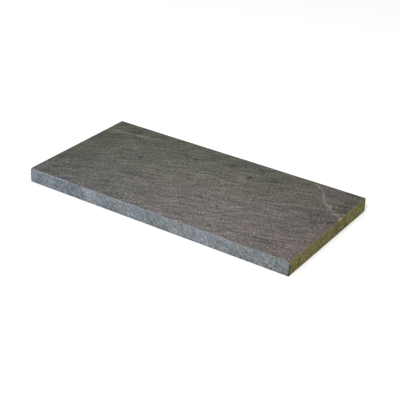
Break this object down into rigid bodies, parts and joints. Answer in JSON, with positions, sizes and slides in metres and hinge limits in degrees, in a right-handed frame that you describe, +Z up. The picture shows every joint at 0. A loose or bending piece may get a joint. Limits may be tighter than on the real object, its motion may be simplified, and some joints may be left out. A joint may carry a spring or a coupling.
{
  "type": "natural stone slab",
  "caption": "Flat rectangular slab of dark basalt-like stone with a split top, sawn sides and one pale mineral vein.",
  "frame": {"origin": "middle of the flat underside, which is the face the slab rests on", "axes": "+X along the length, +Y across the width towards the back, +Z up through the thickness"},
  "size_m": [0.6, 0.3, 0.0295],
  "materials": {
    "stone": "matte"
  },
  "bodies": {
    "root": {"stone_slab": "stone"}
  },
  "joints": []
}
